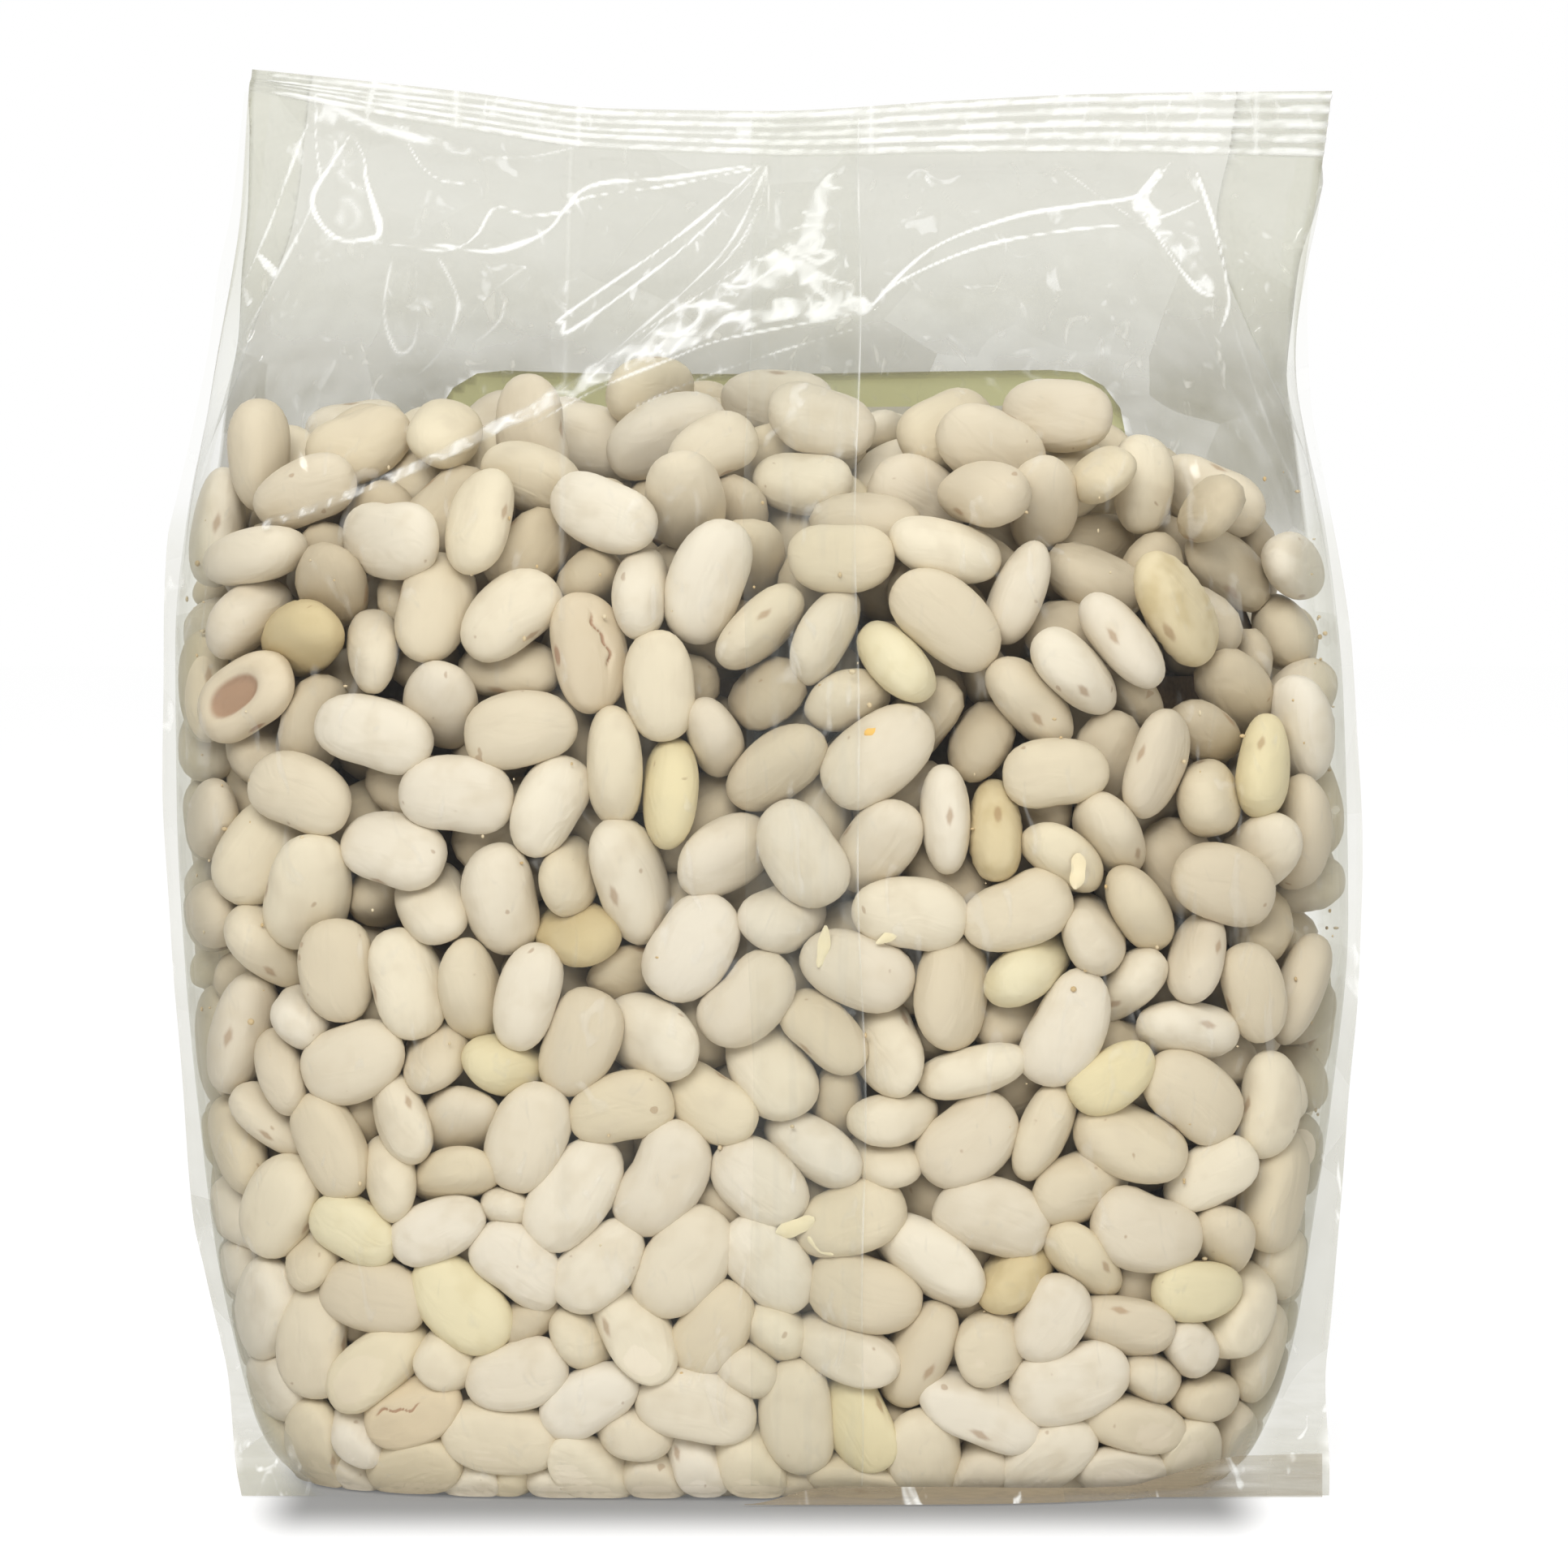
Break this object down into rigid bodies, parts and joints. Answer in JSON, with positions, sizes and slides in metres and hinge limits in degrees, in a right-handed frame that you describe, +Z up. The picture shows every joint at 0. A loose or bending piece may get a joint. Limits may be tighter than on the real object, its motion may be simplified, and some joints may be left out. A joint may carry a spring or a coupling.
{
  "type": "bag of dried beans",
  "caption": "Clear side-gusset film bag filled with large pale dried beans, with a crimped top seal, a lap seam up the back, flat bottom corners and a label on the front.",
  "frame": {"origin": "under the middle of the bag's bounding box, on the surface the bag stands on", "axes": "+Z up from the base to the crimped seal; +X to the right of someone looking at the back panel; +Y out of the labelled front panel, so the back panel with the lap seam faces -Y"},
  "size_m": [0.156, 0.075, 0.1835],
  "materials": {
    "film": "clear glossy plastic film over cream dried beans",
    "label": "smooth printed label, olive green border round a pale field"
  },
  "bodies": {
    "root": {"bag": "film", "label": "label"}
  },
  "joints": []
}
